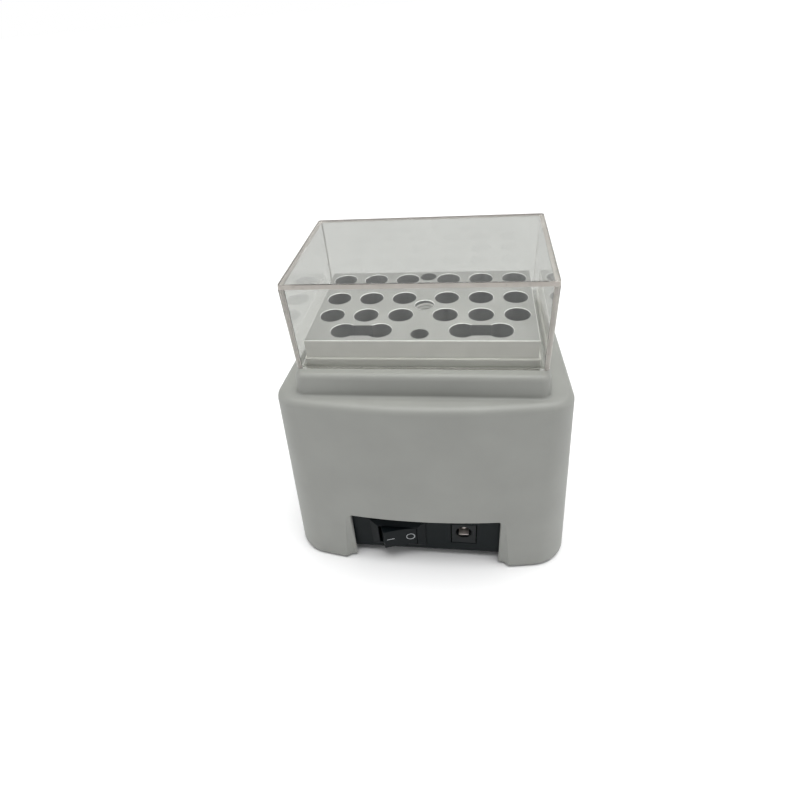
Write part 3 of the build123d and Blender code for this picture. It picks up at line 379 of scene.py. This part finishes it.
def milky(name, dark, light, thin, thick):
    """Cemented acrylic joints: greyish beige and milky, with small voids towards the corners; the same look
    also paints light on the lid's top edges.
    """
    material, tree, shader = new_material(name)
    coords = object_coords(tree)
    cloud = noise(tree, coords, 260, 3)
    tint = ramp(tree, cloud, [(0.35, dark), (0.65, light)])
    place = tree.nodes.new("ShaderNodeSeparateXYZ")
    tree.links.new(coords, place.inputs[0])
    away_x = math_node(tree, "ABSOLUTE", place.outputs["X"])
    corner = math_node(tree, "GREATER_THAN", away_x, VOIDS_FROM_X)
    voids = tree.nodes.new("ShaderNodeTexVoronoi")
    voids.inputs["Scale"].default_value = VOID_SCALE
    tree.links.new(coords, voids.inputs["Vector"])
    ring = ramp(tree, voids.outputs["Distance"], [(0.30, (1, 1, 1)), (0.38, (0, 0, 0))])
    spots = math_node(tree, "MULTIPLY", corner, ring)
    colour = mixed(tree, spots, tint, shade(dark, VOID_SHADE))
    tree.links.new(colour, shader.inputs["Base Color"])
    tree.links.new(remap(tree, noise(tree, coords, 700, 2), thin, thick), shader.inputs["Alpha"])
    shader.inputs["Roughness"].default_value = 0.5
    shader.inputs["Specular IOR Level"].default_value = 0.3
    return material


# each plastic: colour, range of roughness, specular level
PLASTIC = {
    "shell": ((0.288, 0.293, 0.273), (0.46, 0.56), 0.5),
    "collar": ((0.57, 0.565, 0.53), (0.45, 0.55), 0.5),
    "base": ((0.09, 0.094, 0.095), (0.5, 0.6), 0.5),
    "rubber": ((0.02, 0.02, 0.021), (0.75, 0.85), 0.3),
    "panel": ((0.0065, 0.0098, 0.0110), (0.42, 0.52), 0.09),
    "switch_black": ((0.0055, 0.0080, 0.0092), (0.34, 0.42), 0.08),
    "inlet_black": ((0.010, 0.0125, 0.0135), (0.38, 0.46), 0.14),
    "silicone": ((0.45, 0.16, 0.05), (0.6, 0.7), 0.4),
    "board": ((0.01, 0.10, 0.035), (0.3, 0.4), 0.5),
    "component_black": ((0.02, 0.02, 0.022), (0.4, 0.5), 0.4),
    "socket_white": ((0.62, 0.60, 0.53), (0.4, 0.5), 0.5),
    "lead_red": ((0.30, 0.015, 0.012), (0.4, 0.5), 0.5),
    "lead_grey": ((0.14, 0.14, 0.15), (0.45, 0.55), 0.5),
    "label": ((0.025, 0.032, 0.040), (0.34, 0.42), 0.4),
    "key": ((0.34, 0.36, 0.37), (0.42, 0.5), 0.5),
}
# each metal: colour, range of roughness
METAL = {
    "plate_aluminium": ((0.62, 0.63, 0.64), (0.3, 0.4)),
    "steel": ((0.55, 0.55, 0.55), (0.25, 0.35)),
    "brass_post": ((0.60, 0.42, 0.16), (0.25, 0.35)),
    "probe": ((0.6, 0.6, 0.6), (0.2, 0.3)),
}


def window_material():
    """The clear window over the screen."""
    material, tree, shader = new_material("window")
    coords = object_coords(tree)
    tint = ramp(tree, noise(tree, coords, 40), [(0.3, (0.97, 0.98, 0.98)), (0.7, (1, 1, 1))])
    tree.links.new(tint, shader.inputs["Base Color"])
    shader.inputs["Roughness"].default_value = 0.02
    shader.inputs["IOR"].default_value = ACRYLIC_IOR
    shader.inputs["Transmission Weight"].default_value = 1.0
    return material


def screen_material():
    """Reflective liquid crystal glass, grey-green and faintly uneven."""
    material, tree, shader = new_material("screen")
    coords = object_coords(tree)
    tint = ramp(tree, noise(tree, coords, 120, 3), [(0.3, (0.20, 0.25, 0.20)), (0.7, (0.23, 0.28, 0.225))])
    tree.links.new(tint, shader.inputs["Base Color"])
    tree.links.new(remap(tree, noise(tree, coords, 3000), 0.12, 0.2), shader.inputs["Roughness"])
    return material


# each milky acrylic: darker and lighter colour, thinnest and thickest cover
MILKY = {
    "corner_bond": ((0.72, 0.685, 0.65), (0.77, 0.735, 0.70), 0.72, 0.85),
    "top_bond": ((0.52, 0.495, 0.465), (0.58, 0.555, 0.525), 0.4, 0.5),
    # painted light: an opaque beige on the lid's top edges, standing in for the light seen through the
    # clear, polished edge
    "lid_edge_painted_light": ((0.48, 0.445, 0.41), (0.53, 0.495, 0.455), 0.88, 1.0),
}
# each print: colour, how far it varies, range of roughness, bump
PRINTED = {
    "printed_mark": ((0.42, 0.44, 0.45), 0.08, (0.5, 0.6), 0.05),
    "printed_accent": ((0.05, 0.22, 0.30), 0.06, (0.5, 0.6), 0.05),
    "unlit_segment": ((0.145, 0.18, 0.145), 0.04, (0.3, 0.4), 0.0),
}
# each half-metallic colour with painted light: colour, range of roughness. Both are light, mostly diffuse
# colours that stay bright in the shade of their holes, where bare metal would mirror the dark hole.
PAINTED_LIGHT_METAL = {
    # the jack's contacts: painted light, a near-white colour that reads bright deep in the shaded bore
    "contact_metal": ((0.94, 0.86, 0.81), (0.4, 0.5)),
    # the thread is bright bare cut metal, made lighter still as painted light
    "cut_thread": ((0.80, 0.80, 0.79), (0.3, 0.4)),
}
METAL_GRAIN = 1800


def make_materials():
    """Every material by the name that the record and the pieces use."""
    made = {}
    for name, (colour, rough, specular) in PLASTIC.items():
        made[name] = grained(name, colour, rough=rough, specular=specular)
    for name, (colour, rough) in METAL.items():
        made[name] = grained(name, colour, rough=rough, metallic=1.0, grain=METAL_GRAIN)
    made["block_aluminium"] = block_material()
    made["acrylic"] = acrylic_material()
    for name, look in MILKY.items():
        made[name] = milky(name, *look)
    for name, (colour, vary, rough, bump) in PRINTED.items():
        made[name] = grained(name, colour, vary=vary, rough=rough, bump=bump)
    for name, (colour, rough) in PAINTED_LIGHT_METAL.items():
        made[name] = grained(name, colour, rough=rough, metallic=0.3, grain=METAL_GRAIN)
    made["window"] = window_material()
    made["screen"] = screen_material()
    return made


def dress_nodes(materials):
    """Gives each node of the frame the material that its slot in the record names."""
    for part in RECORD["subparts"]:
        node = NODES[part["node"]]
        node.data.materials.clear()
        node.data.materials.append(materials[part["material_slot"]])


# ---------------------------------------------------------------- pieces
def add_piece(name, mesh_data, material, body, *, replaced=()):
    """Links a finished bmesh as a piece that rides on a body and returns it."""
    mesh = bpy.data.meshes.new(name)
    bmesh.ops.recalc_face_normals(mesh_data, faces=mesh_data.faces)
    mesh_data.to_mesh(mesh)
    mesh_data.free()
    mesh.materials.append(material)
    piece = bpy.data.objects.new(name, mesh)
    bpy.context.scene.collection.objects.link(piece)
    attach(piece, body)
    if replaced:
        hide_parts(*replaced)
    return piece


# a box's six faces, by the places of its corners when x runs slowest and z fastest
BOX_FACES = ((0, 1, 3, 2), (4, 6, 7, 5), (0, 4, 5, 1), (2, 3, 7, 6), (0, 2, 6, 4), (1, 5, 7, 3))


def add_box(shape, low, high):
    """Adds a closed box to a bmesh."""
    xs, ys, zs = zip(low, high)
    corners = [shape.verts.new((x, y, z)) for x in xs for y in ys for z in zs]
    for face in BOX_FACES:
        shape.faces.new([corners[i] for i in face])


LID_NODES = ("lid_top", "lid_rear", "lid_front", "lid_left", "lid_right")
LID_EDGE = 0.12 * MM
LID_CORNER = 1.0 * MM
BOND_THICK = 0.04 * MM
BOND_INSET = 0.1 * MM
# two levels closer than this are one level, in metres
HAIR = 1e-6
# a face whose normal rises less than this counts as upright
STEEP = 0.3


def lid_limits():
    """The lid's lowest and highest corner and the thickness of its wall."""
    boxes = [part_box(node) for node in LID_NODES]
    low = Vector([min(b[0][i] for b in boxes) for i in range(3)])
    high = Vector([max(b[1][i] for b in boxes) for i in range(3)])
    top_low, top_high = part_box("lid_top")
    return low, high, top_high[2] - top_low[2]


def make_lid_shell():
    """The five cemented plates as the one clear body that they make; the top plate's edges carry an opaque
    beige as painted light.
    """
    low, high, wall = lid_limits()
    seat = high.z - wall
    shape = bmesh.new()

    def loop(inset, z):
        x0, x1 = low.x + inset, high.x - inset
        y0, y1 = low.y + inset, high.y - inset
        return [shape.verts.new(corner) for corner in ((x0, y0, z), (x1, y0, z), (x1, y1, z), (x0, y1, z))]

    outer = [loop(0, low.z), loop(0, seat), loop(0, high.z)]
    inner = [loop(wall, low.z), loop(wall, seat)]
    for i in range(4):
        j = (i + 1) % 4
        shape.faces.new((outer[0][i], outer[0][j], outer[1][j], outer[1][i]))
        shape.faces.new((outer[1][i], outer[1][j], outer[2][j], outer[2][i]))
        shape.faces.new((inner[0][j], inner[0][i], inner[1][i], inner[1][j]))
        shape.faces.new((outer[0][j], outer[0][i], inner[0][i], inner[0][j]))
    shape.faces.new(outer[2])
    shape.faces.new(inner[1][::-1])
    corner_edges = [e for e in shape.edges if all(v in outer[0] + outer[1] + outer[2] for v in e.verts)]
    upright = [e for e in corner_edges if abs(e.verts[0].co.z - e.verts[1].co.z) > HAIR]
    bmesh.ops.bevel(shape, geom=upright, offset=LID_CORNER, segments=4, profile=0.5, affect="EDGES")
    rims = [e for e in shape.edges if all(abs(v.co.z - high.z) < HAIR for v in e.verts)]
    bmesh.ops.bevel(shape, geom=rims, offset=LID_EDGE, segments=2, profile=0.5, affect="EDGES")
    shape.normal_update()
    # the top plate's upright edges get the painted-light beige
    for face in shape.faces:
        if abs(face.normal.z) < STEEP and face.calc_center_median().z > seat + LID_EDGE / 2:
            face.material_index = 1
    lid = add_piece("lid_plates", shape, MATERIALS["acrylic"], "lid", replaced=LID_NODES)
    lid.data.materials.append(MATERIALS["lid_edge_painted_light"])


def corner_outline(near, far, steps=4):
    """A corner column's section, rounded on the outside, measured inwards from the lid's corner."""
    points = [(far, far), (near, far)]
    for step in range(steps + 1):
        angle = pi / 2 * step / steps
        reach = LID_CORNER - near
        points.append((LID_CORNER - reach * cos(angle), LID_CORNER - reach * sin(angle)))
    return points + [(far, near)]


def add_prism(shape, outline, z0, z1):
    """Adds an upright prism on a closed outline."""
    rings = [[shape.verts.new((x, y, z)) for x, y in outline] for z in (z0, z1)]
    for i in range(len(outline)):
        j = (i + 1) % len(outline)
        shape.faces.new((rings[0][i], rings[0][j], rings[1][j], rings[1][i]))
    shape.faces.new(rings[1])
    shape.faces.new(rings[0][::-1])


def make_lid_bonds():
    """The milky joints inside the lid's edges: flat under the top plate, solid in the corners."""
    low, high, wall = lid_limits()
    shape = bmesh.new()
    columns = bmesh.new()
    seat = high.z - wall
    under = seat - BOND_THICK
    gap = BOND_INSET
    for side, x in ((1, low.x), (-1, high.x)):
        xs = sorted((x + side * gap, x + side * (wall - gap)))
        add_box(shape, (xs[0], low.y + LID_CORNER, under), (xs[1], high.y - LID_CORNER, seat))
        for turn, y in ((1, low.y), (-1, high.y)):
            outline = [(x + side * u, y + turn * v) for u, v in corner_outline(gap, wall - gap)]
            add_prism(columns, outline, low.z + gap, under - gap)
    for side, y in ((1, low.y), (-1, high.y)):
        ys = sorted((y + side * gap, y + side * (wall - gap)))
        add_box(shape, (low.x + wall, ys[0], under), (high.x - wall, ys[1], seat))
    add_piece("lid_bonds", shape, MATERIALS["top_bond"], "lid")
    add_piece("lid_corner_bonds", columns, MATERIALS["corner_bond"], "lid")


# ---------------------------------------------------------------- printed marks
def add_print(shape, loops, place, low, high):
    """Adds one printed shape: a polygon, or a band between two loops, laid on a surface."""
    rings = [[[shape.verts.new(place(u, v, w)) for u, v in loop] for w in (low, high)] for loop in loops]
    count = len(loops[0])
    for bottom, top in rings:
        for i in range(count):
            j = (i + 1) % count
            shape.faces.new((bottom[i], bottom[j], top[j], top[i]))
    if len(rings) == 1:
        shape.faces.new(rings[0][1])
        shape.faces.new(rings[0][0][::-1])
        return
    for level in (0, 1):
        outer, inner = rings[0][level], rings[1][level]
        for i in range(count):
            j = (i + 1) % count
            shape.faces.new((outer[i], outer[j], inner[j], inner[i]))


def circle(u, v, radius, count=40):
    angles = [2 * pi * i / count for i in range(count)]
    return [(u + radius * cos(angle), v + radius * sin(angle)) for angle in angles]


def rectangle(u0, v0, u1, v1):
    return [(u0, v0), (u1, v0), (u1, v1), (u0, v1)]


def centred(u, v, half_u, half_v):
    """A rectangle about its middle."""
    return rectangle(u - half_u, v - half_v, u + half_u, v + half_v)


def tilted_bar(u, v, half_u, half_v, angle):
    """A rectangle about its middle, turned by an angle."""
    corners = centred(0, 0, half_u, half_v)
    return [(u + a * cos(angle) - b * sin(angle), v + a * sin(angle) + b * cos(angle)) for a, b in corners]


# how far a print reaches below and above the surface under it, in millimetres
PRINT_LOW = -0.02
PRINT_HIGH = 0.025

# the rocker: its axis in millimetres, its turn at rest, and half its face's length and the face's height
SWITCH_AXIS = (10.75, 49.2, 14.1)
ROCKER_TURN = radians(14)
ROCKER_FACE = (6.4, 4.81)
ROCKER_DISH = 0.35
OFF_MARK = -4.0
OFF_RING = (1.72, 1.42)
ON_MARK = 3.8
ON_BAR = (1.5, 0.15)


def on_rocker(u, v, w):
    """A point on the rocker's dished face: u along it, v up it, w out of it, in millimetres."""
    half, height = ROCKER_FACE
    depth = height - ROCKER_DISH * (1 - (u / half) ** 2) + w
    x = u * cos(ROCKER_TURN) - depth * sin(ROCKER_TURN)
    y = u * sin(ROCKER_TURN) + depth * cos(ROCKER_TURN)
    return Vector((SWITCH_AXIS[0] + x, SWITCH_AXIS[1] + y, SWITCH_AXIS[2] + v)) * MM


def make_rocker_marks():
    """The ring for off and the bar for on."""
    shape = bmesh.new()
    ring = [circle(OFF_MARK, 0, radius) for radius in OFF_RING]
    bar = centred(ON_MARK, 0, *ON_BAR)
    for loops in (ring, [bar]):
        add_print(shape, loops, on_rocker, PRINT_LOW, PRINT_HIGH)
    add_piece("rocker_marks", shape, MATERIALS["printed_mark"], "rocker")


# the sloping control face: the y and z of its upper and lower edge, and levels and places on it
SLOPE_TOP = (-22.75, 76.6)
SLOPE_BOTTOM = (-51.6, 38.0)
LABEL_FACE = -0.1
KEY_FACE = 0.8
KEY_V = -11.0
KEY_PITCH = 13.0
KEY_LINES = ((5.7, 4.1), (5.4, 3.8))
WINDOW_V = 7.0
WINDOW_LINES = ((25.2, 8.9), (24.8, 8.5))
STRIPE_HALF = 36.5
STRIPES = ((-17.6, -16.6), (16.9, 17.4))
SCREEN_FACE = -3.0


def on_slope(u, v, w):
    """A point over the sloping control face, in millimetres from its middle."""
    run = SLOPE_TOP[0] - SLOPE_BOTTOM[0]
    rise = SLOPE_TOP[1] - SLOPE_BOTTOM[1]
    length = (run * run + rise * rise) ** 0.5
    y = (SLOPE_TOP[0] + SLOPE_BOTTOM[0]) / 2 + v * run / length - w * rise / length
    z = (SLOPE_TOP[1] + SLOPE_BOTTOM[1]) / 2 + v * rise / length + w * run / length
    return Vector((u, y, z)) * MM


def key_u(index):
    """How far along the face the middle of a key lies."""
    return KEY_PITCH * (index - (len(KEYS) - 1) / 2)


def clock_icon(u, v):
    ring = [circle(u, v, 1.5), circle(u, v, 1.2)]
    return [ring, [rectangle(u - 0.14, v, u + 0.14, v + 0.95)], [rectangle(u + 0.14, v, u + 0.75, v + 0.28)]]


def down_icon(u, v):
    return [[[(u - 1.4, v + 0.9), (u, v - 1.2), (u + 1.4, v + 0.9)]]]


def square_icon(u, v):
    return [[centred(u, v, 1.3, 1.3), centred(u, v, 1.0, 1.0)]]


def up_icon(u, v):
    return [[[(u - 1.4, v - 0.9), (u + 1.4, v - 0.9), (u, v + 1.2)]]]


def run_icon(u, v):
    arrow = [(u - 1.7, v - 1.1), (u + 0.1, v), (u - 1.7, v + 1.1)]
    bars = [rectangle(u + side, v - 1.1, u + side + 0.45, v + 1.1) for side in (0.5, 1.35)]
    return [[loop] for loop in (arrow, *bars)]


KEYS = (
    ("key_mode", clock_icon),
    ("key_down", down_icon),
    ("key_set", square_icon),
    ("key_up", up_icon),
    ("key_start", run_icon),
)


def make_key_icons():
    """One plain sign on each key; a sign is a list of the shapes that it is printed in."""
    for index, (name, icon) in enumerate(KEYS):
        shape = bmesh.new()
        for loops in icon(key_u(index), KEY_V):
            add_print(shape, loops, on_slope, KEY_FACE + PRINT_LOW, KEY_FACE + PRINT_HIGH)
        add_piece(f"{name}_icon", shape, MATERIALS["label"], name)


def make_label_print():
    """The lines round the window and round each key, and the two accent stripes."""
    low, high = LABEL_FACE + PRINT_LOW, LABEL_FACE + PRINT_HIGH
    shape = bmesh.new()
    add_print(shape, [centred(0, WINDOW_V, *half) for half in WINDOW_LINES], on_slope, low, high)
    for index in range(len(KEYS)):
        lines = [centred(key_u(index), KEY_V, *half) for half in KEY_LINES]
        add_print(shape, lines, on_slope, low, high)
    add_piece("label_lines", shape, MATERIALS["printed_mark"], "case")
    stripes = bmesh.new()
    for bottom, top in STRIPES:
        add_print(stripes, [rectangle(-STRIPE_HALF, bottom, STRIPE_HALF, top)], on_slope, low, high)
    add_piece("label_stripes", stripes, MATERIALS["printed_accent"], "case")


SEGMENT_WIDTH = 0.52
SEGMENT_THICKNESS = 0.055
SEGMENT_GAP = 1.25
LARGE_DIGITS = ((-16.5, -10.0, -3.5), 7.4, 9.0)
SMALL_DIGIT_U = 6.5
SMALL_DIGIT_PITCH = 4.4
SMALL_DIGIT_ROWS = (9.6, 3.4)
SMALL_DIGIT_TALL = 5.0
DOTS = ((-6.7, 3.2), (13.1, 8.6), (13.1, 10.6))
DOT_RADIUS = 0.4


def segment_loops(u, v, tall):
    """The seven segments of one digit."""
    wide = tall * SEGMENT_WIDTH
    thick = tall * SEGMENT_THICKNESS
    gap = thick * SEGMENT_GAP
    loops = [tilted_bar(u, v + level * tall / 2, wide / 2 - gap, thick, 0) for level in (-1, 0, 1)]
    for side in (-1, 1):
        for level in (-1, 1):
            place = (u + side * wide / 2, v + level * tall / 4)
            loops.append(tilted_bar(*place, tall / 4 - gap, thick, pi / 2))
    return loops


def make_screen_segments():
    """The unlit digits of the display: three large ones and two small rows of four."""
    shape = bmesh.new()
    low, high = SCREEN_FACE + PRINT_LOW, SCREEN_FACE + PRINT_HIGH
    large_us, large_v, large_tall = LARGE_DIGITS
    digits = [(u, large_v, large_tall) for u in large_us]
    for v in SMALL_DIGIT_ROWS:
        digits += [(SMALL_DIGIT_U + SMALL_DIGIT_PITCH * i, v, SMALL_DIGIT_TALL) for i in range(4)]
    for u, v, tall in digits:
        for loop in segment_loops(u, v, tall):
            add_print(shape, [loop], on_slope, low, high)
    for u, v in DOTS:
        add_print(shape, [circle(u, v, DOT_RADIUS, 16)], on_slope, low, high)
    add_piece("screen_segments", shape, MATERIALS["unlit_segment"], "case")


# ---------------------------------------------------------------- lifting thread
THREAD_RADIUS = 3.36
THREAD_HEIGHT = 0.16
THREAD_PITCH = 1.25
THREAD_DEPTH = 12.5
THREAD_START = 0.2
THREAD_STEPS = 36
# the ridge's section: how far down one turn, how far inwards in millimetres
THREAD_PROFILE = ((0.0, 0.0), (0.49, THREAD_HEIGHT), (0.98, 0.0))


def make_lifting_thread():
    """The cut thread in the block's middle hole, as a winding ridge on its wall."""
    top = BLOCK_HIGH[2] / MM - THREAD_START
    turns = THREAD_DEPTH / THREAD_PITCH
    shape = bmesh.new()
    rows = []
    for step in range(int(turns * THREAD_STEPS) + 1):
        angle = 2 * pi * step / THREAD_STEPS
        row = []
        for share, height in THREAD_PROFILE:
            z = top - THREAD_PITCH * (step / THREAD_STEPS + share)
            radius = THREAD_RADIUS - height
            row.append(shape.verts.new(Vector((radius * cos(angle), radius * sin(angle), z)) * MM))
        rows.append(row)
    for first, second in zip(rows, rows[1:]):
        for i in range(len(THREAD_PROFILE) - 1):
            shape.faces.new((first[i], first[i + 1], second[i + 1], second[i]))
        shape.faces.new((first[0], second[0], second[-1], first[-1]))
    shape.faces.new(rows[0])
    shape.faces.new(rows[-1][::-1])
    bmesh.ops.translate(shape, verts=shape.verts, vec=(0, BLOCK_MIDDLE_Y, 0))
    add_piece("lifting_thread", shape, MATERIALS["cut_thread"], "case")


# ---------------------------------------------------------------- build
make_camera()
make_world()
make_lamps()
make_floor()
MATERIALS = make_materials()
dress_nodes(MATERIALS)
make_lid_shell()
make_lid_bonds()
make_rocker_marks()
make_key_icons()
make_label_print()
make_screen_segments()
make_lifting_thread()
